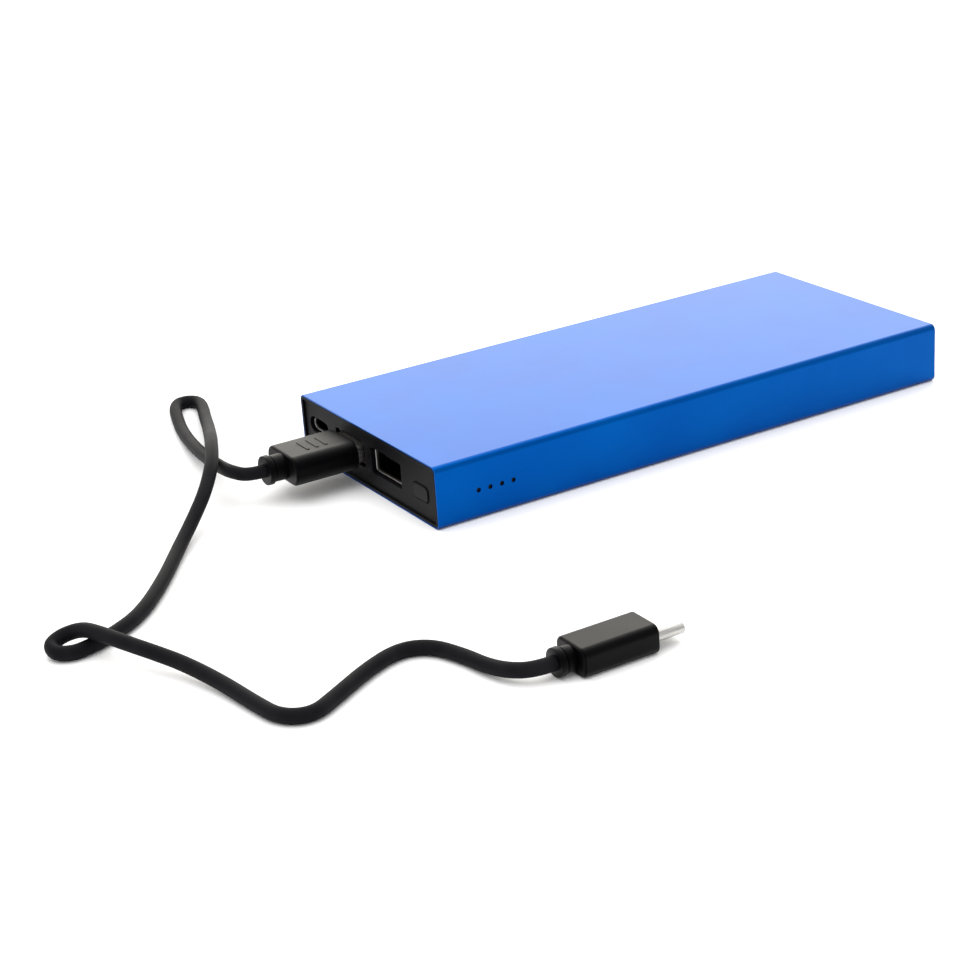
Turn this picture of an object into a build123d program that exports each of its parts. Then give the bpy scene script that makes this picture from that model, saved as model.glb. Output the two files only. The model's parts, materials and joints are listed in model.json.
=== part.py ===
import os
from math import pi, radians, tan

from build123d import *

os.makedirs("parts", exist_ok=True)

# Frame: origin at the middle of the power bank's underside, +Z up, ports at the -X end,
# charge indicator holes in the -Y side wall. Millimetres.

# Sleeve: one extruded tube with a rebate at each mouth
body_length = 146.4
body_width = 64.7
body_height = 15.0
edge_radius = 1.5
sleeve_wall = 0.9
lip_wall = 0.4
rebate_depth = 1.6
mouth_chamfer = 0.15

# Clearances
fit_gap = 0.05  # pieces that push together
slip_gap = 0.15  # around the button
board_gap = 0.2  # around what stands in a board cut-out
embed_gap = 0.02  # metal in a moulding

# End caps
bead_width = 0.6
panel_sink = 0.5
panel_thickness = 1.6
skirt_wall = 1.0
skirt_depth = 3.9
opening_chamfer = 0.15
latch_y = 20.0
latch_width = 6.0
latch_length = 1.4
latch_inset = 3.6  # mouth to the near side of a latch window

# Two USB-A sockets, the first one holding the lead's plug
usb_a_z = 7.9
usb_a_shell_size = (13.1, 5.7)
usb_a_shell_gap = 4.1  # between the two shells
usb_a_spacing = usb_a_shell_size[0] + usb_a_shell_gap
usb_a_opening_gaps = (0.35, 0.3)  # round the shell, y, z
usb_a_opening = tuple(size + 2 * gap for size, gap in zip(usb_a_shell_size, usb_a_opening_gaps))
usb_a_opening_radius = 0.5
usb_a_shell_radius = 0.6
usb_a_shell_depth = 14.0  # behind the panel
socket_wall = 0.3
socket_reach = 0.7  # how far the shells stand into the panel's openings
wing_size = (4.0, 1.2)  # solder wings of a shell, x, y
wing_setback = 5.0  # in front of the shell's back
usb_a_tongue_width = 11.1
usb_a_tongue_thickness = 1.84
usb_a_tongue_lift = 0.02  # underside above the socket's centre line
usb_a_tongue_setback = 1.5
usb_a_block_depth = 3.9
tongue_chamfer = 0.3
usb_a_contact_spots = (-3.5, -1.0, 1.0, 3.5)
contact_width = 1.0
contact_thickness = 0.2
contact_proud = 0.05
contact_setback = 0.4  # behind the tongue's front
contact_foot_length = 1.4

# USB-C socket
usb_c_y = 24.2
usb_c_z = 8.5
usb_c_shell_size = (8.94, 3.26)
usb_c_opening_gap = 0.3  # round the shell
usb_c_opening = tuple(size + 2 * usb_c_opening_gap for size in usb_c_shell_size)
usb_c_shell_depth = 7.3  # behind the panel
usb_c_tongue_size = (6.7, 0.7)
usb_c_tongue_setback = 0.8
usb_c_block_depth = 1.6
usb_c_contact_count = 12
usb_c_contact_pitch = 0.5
usb_c_contact_thickness = 0.08
usb_c_contact_setback = 0.6
usb_c_tongue_chamfer = 0.15

# Power button and the switch behind it
button_y = -24.6
button_z = 6.9
button_size = (6.6, 3.7)
button_radius = 1.25
button_proud = 0.25
button_flange_size = (7.9, 5.0)
button_flange_thickness = 0.8
button_stem_size = (3.0, 1.6)
button_travel = 0.3
button_edge_fillet = 0.2
switch_size = (3.5, 6.0, 2.5)  # x, y, z
switch_setback = 3.5  # behind the panel
switch_chamfer = 0.3
plunger_size = (2.6, 1.3)
plunger_reach = 1.0  # in front of the switch
plunger_depth = 0.7  # inside the switch

# Circuit board
board_length = 25.6
board_width = 59.0
board_thickness = 1.2
board_setback = 1.5  # front edge behind the panel
board_corner_radius = 1.0
board_screw_spots = ((-59.5, 21.5), (-59.5, -21.5), (-47.5, 24.0), (-47.5, -24.0))
screw_diameter = 1.6
screw_length = 4.5
screw_head_diameter = 3.2
screw_head_height = 1.0
screw_recess_size = (1.8, 0.4, 0.8)  # length, width, height of the cutter centred on the head's top
boss_diameter = 4.6

# Charge indicator
led_count = 4
led_first_x = -62.26
led_pitch = 3.08
led_hole_z = 7.0
led_hole_diameter = 1.1
led_size = (1.6, 1.0, 0.8)
led_edge_gap = 0.1  # board edge to the leds
guide_depth = 1.5
guide_margin = 1.24
guide_height = 2.8
pip_inset = 0.35

# Carrier and cells
carrier_end_gap = 0.3
carrier_wall = 1.2
carrier_floor = 0.8
carrier_wall_height = 8.0
bulkhead_thickness = 1.2
board_bay_length = 25.9
cell_gap = 1.3
cell_width = 59.0
cell_side_gap = 3.0
terrace_length = 4.0
terrace_thickness = 1.0
terrace_inset = 2.0
pouch_corner_radius = 1.0
pad_inset = 4.0  # pouch edge to the tape and foam
tape_thickness = 0.4
foam_thickness = 0.9
tab_y = 12.0
tab_width = 5.0
tab_thickness = 0.2
tab_overlap = 2.5

# Lead: USB-A plug
plug_gap = 1.2  # moulding to the sleeve's mouth
plug_reach = 10.8  # metal tip behind the sleeve's mouth
plug_shell_size = (12.0, 4.5)
plug_shell_wall = 0.3
plug_shell_radius = 0.4
plug_embed = 4.0
plug_insert_thickness = 1.8
plug_insert_setback = 0.2
plug_contact_setback = 1.6
plug_body_size = (15.0, 7.1)
plug_body_length = 16.4
plug_body_radius = 2.8
plug_neck_length = 4.6
plug_neck_diameter = 6.3
plug_collar_diameter = 7.1
moulding_rear_fillet = 0.5
moulding_front_fillet = 0.3
collar_width = 1.35
collar_fillet = 0.3
window_size = (1.9, 2.3)
window_spacing = 5.7
window_setback = 5.2
grip_bar_size = (0.9, 6.0)
grip_bar_pitch = 2.4
grip_bar_count = 3
grip_bar_height = 0.15

# Lead: USB-C plug, lying on the surface that the power bank stands on
small_plug_front_x = -70.5
small_plug_y = -107.4
small_body_size = (10.0, 6.2)
small_body_length = 17.6
small_body_radius = 1.7
small_shell_size = (8.25, 2.4)
small_shell_wall = 0.25
small_shell_length = 6.65
small_embed = 3.0
small_slot_size = (6.9, 0.8)
small_slot_depth = 5.5
small_insert_setback = 0.3
small_neck_length = 3.7
small_neck_diameter = 5.4
small_collar_diameter = 6.1

# Lead: cable, from the USB-A plug's collar to the USB-C plug's collar
cable_diameter = 3.2
arc_share = 0.45  # of the shorter run beside a turn
cable_route = [
    (-95.4, 8.6, 7.9),
    (-99.7, 8.6, 7.9),
    (-102.0, 12.8, 8.2),
    (-101.9, 18.0, 7.6),
    (-100.8, 25.5, 6.4),
    (-98.6, 37.9, 4.5),
    (-95.5, 51.3, 2.6),
    (-92.7, 62.5, 1.6),
    (-90.9, 68.4, 1.6),
    (-88.9, 74.6, 1.6),
    (-87.1, 79.2, 1.6),
    (-84.9, 82.0, 1.6),
    (-81.8, 81.8, 1.6),
    (-80.3, 78.6, 1.7),
    (-82.1, 72.4, 2.0),
    (-84.9, 65.4, 2.6),
    (-88.9, 54.4, 4.2),
    (-94.1, 41.3, 7.2),
    (-99.7, 27.7, 10.6),
    (-105.3, 15.2, 10.6),
    (-110.9, 7.7, 7.4),
    (-117.3, 1.8, 3.8),
    (-124.8, -6.3, 1.6),
    (-134.1, -19.4, 1.6),
    (-144.5, -31.8, 1.6),
    (-153.0, -37.3, 1.6),
    (-158.3, -39.2, 1.6),
    (-162.7, -40.4, 1.6),
    (-166.0, -38.5, 1.7),
    (-165.9, -34.8, 2.2),
    (-162.5, -33.9, 3.1),
    (-159.3, -37.3, 4.8),
    (-157.6, -43.2, 5.3),
    (-155.4, -49.6, 5.2),
    (-151.8, -56.0, 4.3),
    (-148.2, -62.0, 3.1),
    (-145.0, -71.8, 1.9),
    (-143.5, -83.0, 1.6),
    (-142.2, -91.0, 1.6),
    (-136.9, -94.2, 1.6),
    (-129.8, -90.2, 1.6),
    (-120.3, -84.5, 1.6),
    (-111.3, -80.8, 1.6),
    (-105.1, -83.4, 1.6),
    (-102.2, -91.2, 1.6),
    (-101.2, -97.9, 1.8),
    (-99.6, -103.6, 2.5),
    (-96.2, -107.4, 3.1),
    (-91.8, -107.4, 3.1),
]

# Planes and places worked out from the sizes above
front_x = -body_length / 2
rear_x = body_length / 2
mid_z = body_height / 2
cavity_width = body_width - 2 * sleeve_wall
cavity_height = body_height - 2 * sleeve_wall
cavity_radius = edge_radius - sleeve_wall
panel_depth = panel_sink + panel_thickness
panel_back_x = front_x + panel_depth
socket_front_x = panel_back_x - socket_reach
skirt_size = (cavity_width - 2 * fit_gap, cavity_height - 2 * fit_gap)
skirt_base_z = sleeve_wall + fit_gap
usb_a_spots = (usb_a_spacing / 2, -usb_a_spacing / 2)
usb_a_back_x = panel_back_x + usb_a_shell_depth
tongue_front_x = panel_back_x + usb_a_tongue_setback
tongue_under_z = usb_a_z + usb_a_tongue_lift
contact_under_z = tongue_under_z - contact_proud
board_top_z = usb_c_z - usb_c_shell_size[1] / 2
board_under_z = board_top_z - board_thickness
board_front_x = panel_back_x + board_setback
board_rear_x = board_front_x + board_length
switch_front_x = panel_back_x + switch_setback
switch_mid_z = board_top_z + switch_size[2] / 2
plunger_tip_x = switch_front_x - plunger_reach
led_spots = [led_first_x + led_pitch * i for i in range(led_count)]
carrier_front_x = front_x + panel_depth + skirt_depth + carrier_end_gap
carrier_rear_x = -carrier_front_x
carrier_floor_z = skirt_base_z + carrier_floor
bay_rear_x = carrier_front_x + board_bay_length
cell_front_x = bay_rear_x + 2 * carrier_wall + cell_gap
cell_rear_x = carrier_rear_x - bulkhead_thickness - cell_side_gap / 2
foam_top_z = body_height - sleeve_wall - fit_gap
cell_thickness = (foam_top_z - foam_thickness - tape_thickness - carrier_floor_z) / 2
tape_base_z = carrier_floor_z + cell_thickness
foam_base_z = foam_top_z - foam_thickness
plug_front_x = front_x - plug_gap
plug_tip_x = front_x + plug_reach
plug_rear_x = plug_front_x - plug_body_length
small_plug_z = small_body_size[1] / 2
small_plug_rear_x = small_plug_front_x - small_body_length


def block(low, high, mode=Mode.ADD):
    """A block between two opposite corners, in the part that is being made."""
    middle = [(a + b) / 2 for a, b in zip(low, high)]
    size = [b - a for a, b in zip(low, high)]
    with Locations(tuple(middle)):
        Box(*size, mode=mode)


def save(piece, name):
    piece.part.label = name
    export_step(piece.part, f"parts/{name}.step")


# ---- Casing ----
with BuildPart() as sleeve:
    with BuildSketch(Plane.YZ.offset(front_x)):
        with Locations((0, mid_z)):
            RectangleRounded(body_width, body_height, edge_radius)
            RectangleRounded(cavity_width, cavity_height, cavity_radius, mode=Mode.SUBTRACT)
    extrude(amount=body_length)
    for mouth_x, inward in ((front_x, 1), (rear_x, -1)):
        with BuildSketch(Plane.YZ.offset(mouth_x)):
            with Locations((0, mid_z)):
                rebate = (body_width - 2 * lip_wall, body_height - 2 * lip_wall)
                RectangleRounded(*rebate, edge_radius - lip_wall)
        extrude(amount=inward * rebate_depth, mode=Mode.SUBTRACT)
    for mouth in (sleeve.faces().sort_by(Axis.X)[0], sleeve.faces().sort_by(Axis.X)[-1]):
        chamfer(mouth.outer_wire().edges(), mouth_chamfer)
    with BuildSketch(Plane.XZ.offset(cavity_width / 2)):
        with Locations(*[(x, led_hole_z) for x in led_spots]):
            Circle(led_hole_diameter / 2)
    extrude(amount=sleeve_wall, mode=Mode.SUBTRACT)
save(sleeve, "sleeve")


def cap_shell(mouth_x, inward):
    """Flange, sunk panel and skirt of an end cap; inward is +1 or -1, the way its skirt runs."""
    flange = (body_width - 2 * (lip_wall + fit_gap), body_height - 2 * (lip_wall + fit_gap))
    flange_radius = edge_radius - lip_wall - fit_gap
    with BuildPart() as cap:
        with BuildSketch(Plane.YZ.offset(mouth_x)):
            with Locations((0, mid_z)):
                RectangleRounded(*flange, flange_radius)
        extrude(amount=inward * rebate_depth)
        with BuildSketch(Plane.YZ.offset(mouth_x)):
            with Locations((0, mid_z)):
                RectangleRounded(*skirt_size, cavity_radius - fit_gap)
        extrude(amount=inward * (panel_depth + skirt_depth))
        with BuildSketch(Plane.YZ.offset(mouth_x)):
            with Locations((0, mid_z)):
                sunk = (flange[0] - 2 * bead_width, flange[1] - 2 * bead_width)
                RectangleRounded(*sunk, flange_radius - bead_width)
        extrude(amount=inward * panel_sink, mode=Mode.SUBTRACT)
        with BuildSketch(Plane.YZ.offset(mouth_x + inward * panel_depth)):
            with Locations((0, mid_z)):
                Rectangle(skirt_size[0] - 2 * skirt_wall, skirt_size[1] - 2 * skirt_wall)
        extrude(amount=inward * skirt_depth, mode=Mode.SUBTRACT)
        window_x = mouth_x + inward * (latch_inset + latch_length / 2)
        with Locations((window_x, latch_y, skirt_base_z), (window_x, -latch_y, skirt_base_z)):
            Box(latch_length, latch_width, 3 * skirt_wall, mode=Mode.SUBTRACT)
    return cap.part


with BuildPart() as port_cap:
    add(cap_shell(front_x, 1))
    with BuildSketch(Plane.YZ.offset(front_x)):
        with Locations(*[(y, usb_a_z) for y in usb_a_spots]):
            RectangleRounded(*usb_a_opening, usb_a_opening_radius)
        with Locations((usb_c_y, usb_c_z)):
            SlotOverall(*usb_c_opening)
        with Locations((button_y, button_z)):
            button_opening = (button_size[0] + 2 * slip_gap, button_size[1] + 2 * slip_gap)
            RectangleRounded(*button_opening, button_radius + slip_gap)
    extrude(amount=panel_depth, mode=Mode.SUBTRACT)
    panel_x = front_x + panel_sink
    panel_face = port_cap.faces().filter_by_position(Axis.X, panel_x, panel_x).sort_by(SortBy.AREA)[-1]
    chamfer(ShapeList(edge for wire in panel_face.inner_wires() for edge in wire.edges()), opening_chamfer)
save(port_cap, "port_cap")

with BuildPart() as rear_cap:
    add(cap_shell(rear_x, -1))
save(rear_cap, "rear_cap")

# ---- Carrier: tray for the cells, rails and bosses for the board, latches for both caps ----
with BuildPart() as carrier:
    with BuildSketch(Plane.YZ.offset(carrier_front_x)):
        with Locations((0, mid_z)):
            RectangleRounded(*skirt_size, cavity_radius - fit_gap)
        with Locations((0, carrier_floor_z + body_height / 2)):
            Rectangle(skirt_size[0] - 2 * carrier_wall, body_height, mode=Mode.SUBTRACT)
    extrude(amount=carrier_rear_x - carrier_front_x)
    wall_top_z = skirt_base_z + carrier_wall_height
    side = body_width / 2
    block((carrier_front_x, -side, wall_top_z), (carrier_rear_x, side, body_height), Mode.SUBTRACT)
    block((carrier_front_x, -side, board_under_z), (bay_rear_x, side, wall_top_z), Mode.SUBTRACT)
    inner_side = skirt_size[0] / 2 - carrier_wall / 2
    for bulkhead_x, bulkhead_top_z in (
        (bay_rear_x, board_under_z),
        (carrier_rear_x - bulkhead_thickness, wall_top_z),
    ):
        block(
            (bulkhead_x, -inner_side, carrier_floor_z - carrier_floor / 2),
            (bulkhead_x + bulkhead_thickness, inner_side, bulkhead_top_z),
        )
    with BuildSketch(Plane.XY.offset(carrier_floor_z)):
        with Locations(*board_screw_spots):
            Circle(boss_diameter / 2)
    extrude(amount=board_under_z - carrier_floor_z)
    with Locations(*[(x, y, board_under_z) for x, y in board_screw_spots]):
        Hole(screw_diameter / 2 + fit_gap, depth=screw_length - board_thickness + fit_gap)
    prong_z = skirt_base_z + skirt_wall + 2 * fit_gap
    hook_length = latch_length - 4 * fit_gap
    hook_half_width = latch_width / 2 - 4 * fit_gap
    for mouth_x, inward in ((front_x, 1), (rear_x, -1)):
        hook_x = mouth_x + inward * (latch_inset + 2 * fit_gap)
        shoulder_x = mouth_x + inward * (panel_depth + skirt_depth + carrier_end_gap)
        root_x = shoulder_x + inward * bulkhead_thickness
        hook_ends = sorted((hook_x, hook_x + inward * hook_length))
        for y in (-latch_y, latch_y):
            low_y, high_y = y - hook_half_width, y + hook_half_width
            prong_top_z = prong_z + carrier_floor
            block((min(hook_x, root_x), low_y, prong_z), (max(hook_x, root_x), high_y, prong_top_z))
            block((min(shoulder_x, root_x), low_y, skirt_base_z), (max(shoulder_x, root_x), high_y, prong_z))
            block((hook_ends[0], low_y, skirt_base_z + 4 * fit_gap), (hook_ends[1], high_y, prong_z))
save(carrier, "carrier")


# ---- Cells ----
def pouch_cell(base_z):
    """Flat pouch with a thin sealed terrace at its front, where the tabs come out."""
    with BuildPart() as cell:
        block(
            (cell_front_x + terrace_length, -cell_width / 2, base_z),
            (cell_rear_x, cell_width / 2, base_z + cell_thickness),
        )
        fillet(cell.edges().filter_by(Axis.X) + cell.edges().filter_by(Axis.Z), pouch_corner_radius)
        terrace_z = base_z + (cell_thickness - terrace_thickness) / 2
        block(
            (cell_front_x, terrace_inset - cell_width / 2, terrace_z),
            (cell_front_x + terrace_length, cell_width / 2 - terrace_inset, terrace_z + terrace_thickness),
        )
    return cell


save(pouch_cell(carrier_floor_z), "cell_lower")
save(pouch_cell(tape_base_z + tape_thickness), "cell_upper")

pad_low = (cell_front_x + 2 * terrace_length, pad_inset - cell_width / 2)
pad_high = (cell_rear_x - pad_inset, cell_width / 2 - pad_inset)
with BuildPart() as cell_tape:
    block((*pad_low, tape_base_z), (*pad_high, tape_base_z + tape_thickness))
save(cell_tape, "cell_tape")

with BuildPart() as top_foam:
    block((*pad_low, foam_base_z), (*pad_high, foam_top_z))
save(top_foam, "top_foam")


def cell_tab(y):
    """Nickel strip that joins one pole of both cells and lands on the board."""
    riser_x = cell_front_x - cell_gap / 2
    low_y, high_y = y - tab_width / 2, y + tab_width / 2
    lower_z = carrier_floor_z + (cell_thickness - tab_thickness) / 2
    upper_z = tape_base_z + tape_thickness + (cell_thickness - tab_thickness) / 2
    with BuildPart() as tab:
        for z in (lower_z, upper_z):
            block((riser_x, low_y, z), (cell_front_x, high_y, z + tab_thickness))
        block((riser_x, low_y, lower_z), (riser_x + tab_thickness, high_y, upper_z + tab_thickness))
        block(
            (board_rear_x - tab_overlap, low_y, board_top_z),
            (riser_x + tab_thickness, high_y, board_top_z + tab_thickness),
        )
    return tab


save(cell_tab(tab_y), "positive_tab")
save(cell_tab(-tab_y), "negative_tab")

# ---- Circuit board ----
with BuildPart() as circuit_board:
    with BuildSketch(Plane.XY.offset(board_under_z)):
        with Locations(((board_front_x + board_rear_x) / 2, 0)):
            RectangleRounded(board_length, board_width, board_corner_radius)
        notch_length = usb_a_back_x + board_gap - board_front_x
        with Locations(*[(board_front_x + notch_length / 2, y) for y in usb_a_spots]):
            Rectangle(notch_length, usb_a_shell_size[0] + 2 * board_gap, mode=Mode.SUBTRACT)
        with Locations(*board_screw_spots):
            Circle(screw_diameter / 2 + board_gap, mode=Mode.SUBTRACT)
    extrude(amount=board_thickness)
save(circuit_board, "circuit_board")

with BuildPart() as board_screws:
    with BuildSketch(Plane.XY.offset(board_top_z)):
        with Locations(*board_screw_spots):
            Circle(screw_head_diameter / 2)
    extrude(amount=screw_head_height)
    fillet(board_screws.edges().group_by(Axis.Z)[-1], screw_head_height / 3)
    with BuildSketch(Plane.XY.offset(board_top_z)):
        with Locations(*board_screw_spots):
            Circle(screw_diameter / 2)
    extrude(amount=-screw_length)
    with Locations(*[(x, y, board_top_z + screw_head_height) for x, y in board_screw_spots]):
        Box(*screw_recess_size, mode=Mode.SUBTRACT)
        Box(screw_recess_size[1], screw_recess_size[0], screw_recess_size[2], mode=Mode.SUBTRACT)
save(board_screws, "board_screws")

# Parts soldered to the board, each size x, y, z
small_parts = {
    "inductor": ((6.6, 6.6, 3.2), [(-51.0, 8.6)]),
    "power_chip": ((5.0, 5.0, 0.9), [(-51.0, -3.0)]),
    "protection_chips": ((2.9, 1.6, 1.1), [(-47.6, -8.0), (-47.6, 2.6)]),
    "capacitors": ((1.6, 3.2, 1.6), [(-54.2, -19.0), (-54.2, -14.5), (-54.2, 14.5), (-54.2, 19.0)]),
    "resistors": ((1.0, 0.6, 0.4), [(-51.0, y) for y in (-18.0, -16.0, -14.0, -12.0, 17.0, 19.0)]),
}
for name, (size, spots) in small_parts.items():
    with BuildPart() as soldered:
        with Locations(*[(x, y, board_top_z + size[2] / 2) for x, y in spots]):
            Box(*size)
        chamfer(soldered.edges().group_by(Axis.Z)[-1], min(size) / 8)
    save(soldered, name)

# ---- USB-A sockets ----
for number, port_y in enumerate(usb_a_spots, 1):
    inner = (usb_a_shell_size[0] - 2 * socket_wall, usb_a_shell_size[1] - 2 * socket_wall)
    slot_size = (3 * socket_wall, contact_width + 4 * fit_gap, contact_thickness + 2 * fit_gap)
    contact_mid_z = contact_under_z + contact_thickness / 2
    with BuildPart() as usb_a_shell:
        with BuildSketch(Plane.YZ.offset(socket_front_x)):
            with Locations((port_y, usb_a_z)):
                RectangleRounded(*usb_a_shell_size, usb_a_shell_radius)
        extrude(amount=usb_a_back_x - socket_front_x)
        with BuildSketch(Plane.YZ.offset(socket_front_x)):
            with Locations((port_y, usb_a_z)):
                RectangleRounded(*inner, usb_a_shell_radius - socket_wall)
        extrude(amount=usb_a_back_x - socket_wall - socket_front_x, mode=Mode.SUBTRACT)
        wing_edge = usb_a_shell_size[0] / 2
        for side in (-1, 1):
            root_y = port_y + side * (wing_edge - socket_wall / 2)
            tip_y = port_y + side * (wing_edge + wing_size[1])
            wing_rear_x = usb_a_back_x - wing_setback
            block(
                (wing_rear_x - wing_size[0], min(root_y, tip_y), board_top_z),
                (wing_rear_x, max(root_y, tip_y), board_top_z + socket_wall),
            )
        with Locations(*[(usb_a_back_x, port_y + y, contact_mid_z) for y in usb_a_contact_spots]):
            Box(*slot_size, mode=Mode.SUBTRACT)
    save(usb_a_shell, f"usb_a_shell_{number}")

    block_front_x = usb_a_back_x - socket_wall - usb_a_block_depth
    with BuildPart() as usb_a_tongue:
        with BuildSketch(Plane.YZ.offset(block_front_x)):
            with Locations((port_y, usb_a_z)):
                base = (inner[0] - 2 * fit_gap, inner[1] - 2 * fit_gap)
                RectangleRounded(*base, usb_a_shell_radius - socket_wall)
        extrude(amount=usb_a_block_depth - embed_gap)
        block(
            (tongue_front_x, port_y - usb_a_tongue_width / 2, tongue_under_z),
            (block_front_x, port_y + usb_a_tongue_width / 2, tongue_under_z + usb_a_tongue_thickness),
        )
        chamfer(usb_a_tongue.edges().group_by(Axis.X)[0].filter_by(Axis.Y), tongue_chamfer)
        groove_x = (tongue_front_x + contact_setback + usb_a_back_x) / 2
        groove_length = usb_a_back_x - tongue_front_x - contact_setback
        with Locations(*[(groove_x, port_y + y, contact_mid_z) for y in usb_a_contact_spots]):
            Box(groove_length, contact_width + 2 * embed_gap, contact_thickness, mode=Mode.SUBTRACT)
    save(usb_a_tongue, f"usb_a_tongue_{number}")

    with BuildPart() as usb_a_contacts:
        for y in usb_a_contact_spots:
            low_y, high_y = port_y + y - contact_width / 2, port_y + y + contact_width / 2
            riser_x = usb_a_back_x + 2 * board_gap
            strip_top_z = contact_under_z + contact_thickness
            strip_x = tongue_front_x + contact_setback + fit_gap
            foot_x = riser_x + contact_foot_length
            block((strip_x, low_y, contact_under_z), (riser_x, high_y, strip_top_z))
            block((riser_x, low_y, board_top_z), (riser_x + contact_thickness, high_y, strip_top_z))
            block((riser_x, low_y, board_top_z), (foot_x, high_y, board_top_z + contact_thickness))
    save(usb_a_contacts, f"usb_a_contacts_{number}")

# ---- USB-C socket ----
with BuildPart() as usb_c_shell:
    with BuildSketch(Plane.YZ.offset(socket_front_x)):
        with Locations((usb_c_y, usb_c_z)):
            SlotOverall(*usb_c_shell_size)
    extrude(amount=socket_reach + usb_c_shell_depth)
    with BuildSketch(Plane.YZ.offset(socket_front_x)):
        with Locations((usb_c_y, usb_c_z)):
            SlotOverall(usb_c_shell_size[0] - 2 * socket_wall, usb_c_shell_size[1] - 2 * socket_wall)
    extrude(amount=socket_reach + usb_c_shell_depth - socket_wall, mode=Mode.SUBTRACT)
save(usb_c_shell, "usb_c_shell")

usb_c_block_x = panel_back_x + usb_c_shell_depth - socket_wall - usb_c_block_depth
usb_c_tongue_x = panel_back_x + usb_c_tongue_setback
with BuildPart() as usb_c_tongue:
    with BuildSketch(Plane.YZ.offset(usb_c_block_x)):
        with Locations((usb_c_y, usb_c_z)):
            SlotOverall(
                usb_c_shell_size[0] - 2 * (socket_wall + fit_gap),
                usb_c_shell_size[1] - 2 * (socket_wall + fit_gap),
            )
    extrude(amount=usb_c_block_depth - embed_gap)
    half_width, half_thickness = usb_c_tongue_size[0] / 2, usb_c_tongue_size[1] / 2
    block(
        (usb_c_tongue_x, usb_c_y - half_width, usb_c_z - half_thickness),
        (usb_c_block_x, usb_c_y + half_width, usb_c_z + half_thickness),
    )
    chamfer(usb_c_tongue.edges().group_by(Axis.X)[0].filter_by(Axis.Y), usb_c_tongue_chamfer)
save(usb_c_tongue, "usb_c_tongue")

with BuildPart() as usb_c_contacts:
    strip_start_x = usb_c_tongue_x + usb_c_contact_setback
    strip_length = usb_c_block_x - strip_start_x
    for face in (-1, 1):
        strip_z = usb_c_z + face * (usb_c_tongue_size[1] + usb_c_contact_thickness) / 2
        with Locations((strip_start_x + strip_length / 2, usb_c_y, strip_z)):
            with GridLocations(0, usb_c_contact_pitch, 1, usb_c_contact_count):
                Box(strip_length, usb_c_contact_pitch / 2, usb_c_contact_thickness)
save(usb_c_contacts, "usb_c_contacts")

# ---- Power button, and the switch that it presses ----
with BuildPart() as power_button:
    flange_front_x = panel_back_x + fit_gap
    with BuildSketch(Plane.YZ.offset(front_x + panel_sink - button_proud)):
        with Locations((button_y, button_z)):
            RectangleRounded(*button_size, button_radius)
    extrude(amount=panel_thickness + button_proud + fit_gap)
    fillet(power_button.edges().group_by(Axis.X)[0], button_edge_fillet)
    with BuildSketch(Plane.YZ.offset(flange_front_x)):
        with Locations((button_y, button_z)):
            RectangleRounded(*button_flange_size, button_radius)
    extrude(amount=button_flange_thickness)
    block(
        (flange_front_x, button_y - button_stem_size[0] / 2, switch_mid_z - button_stem_size[1] / 2),
        (plunger_tip_x, button_y + button_stem_size[0] / 2, switch_mid_z + button_stem_size[1] / 2),
    )
save(power_button, "power_button")

plunger_end_x = switch_front_x + plunger_depth
with BuildPart() as tact_plunger:
    block(
        (plunger_tip_x, button_y - plunger_size[0] / 2, switch_mid_z - plunger_size[1] / 2),
        (plunger_end_x, button_y + plunger_size[0] / 2, switch_mid_z + plunger_size[1] / 2),
    )
save(tact_plunger, "tact_plunger")

with BuildPart() as tact_switch_body:
    block(
        (switch_front_x, button_y - switch_size[1] / 2, board_top_z),
        (switch_front_x + switch_size[0], button_y + switch_size[1] / 2, board_top_z + switch_size[2]),
    )
    chamfer(tact_switch_body.edges().filter_by(Axis.Z), switch_chamfer)
    block(
        (
            switch_front_x,
            button_y - plunger_size[0] / 2 - fit_gap,
            switch_mid_z - plunger_size[1] / 2 - fit_gap,
        ),
        (
            plunger_end_x + button_travel + 2 * slip_gap,
            button_y + plunger_size[0] / 2 + fit_gap,
            switch_mid_z + plunger_size[1] / 2 + fit_gap,
        ),
        Mode.SUBTRACT,
    )
save(tact_switch_body, "tact_switch_body")

# ---- Charge indicator ----
led_y = led_size[1] / 2 + led_edge_gap - board_width / 2
with BuildPart() as indicator_leds:
    with Locations(*[(x, led_y, board_top_z + led_size[2] / 2) for x in led_spots]):
        Box(*led_size)
save(indicator_leds, "indicator_leds")

guide_outer_y = fit_gap - cavity_width / 2
with BuildPart() as light_guide:
    block(
        (led_spots[0] - guide_margin, guide_outer_y, board_under_z),
        (led_spots[-1] + guide_margin, guide_outer_y + guide_depth, board_under_z + guide_height),
    )
    with BuildSketch(Plane.XZ.offset(-guide_outer_y)):
        with Locations(*[(x, led_hole_z) for x in led_spots]):
            Circle(led_hole_diameter / 2 - fit_gap)
    extrude(amount=sleeve_wall + fit_gap - pip_inset)
save(light_guide, "light_guide")


# ---- Charging lead ----
def plug_moulding(front, spot, size, length, radius, pocket, pocket_radius, pocket_depth):
    """Soft moulding behind a plug's metal shell, with the pocket that the shell stands in."""
    with BuildPart() as moulding:
        with BuildSketch(Plane.YZ.offset(front)):
            with Locations(spot):
                RectangleRounded(*size, radius)
        extrude(amount=-length)
        fillet(moulding.edges().group_by(Axis.X)[0], moulding_rear_fillet)
        fillet(moulding.edges().group_by(Axis.X)[-1], moulding_front_fillet)
        with BuildSketch(Plane.YZ.offset(front)):
            with Locations(spot):
                RectangleRounded(pocket[0] + 2 * embed_gap, pocket[1] + 2 * embed_gap, pocket_radius)
        extrude(amount=-pocket_depth, mode=Mode.SUBTRACT)
    return moulding.part


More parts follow.
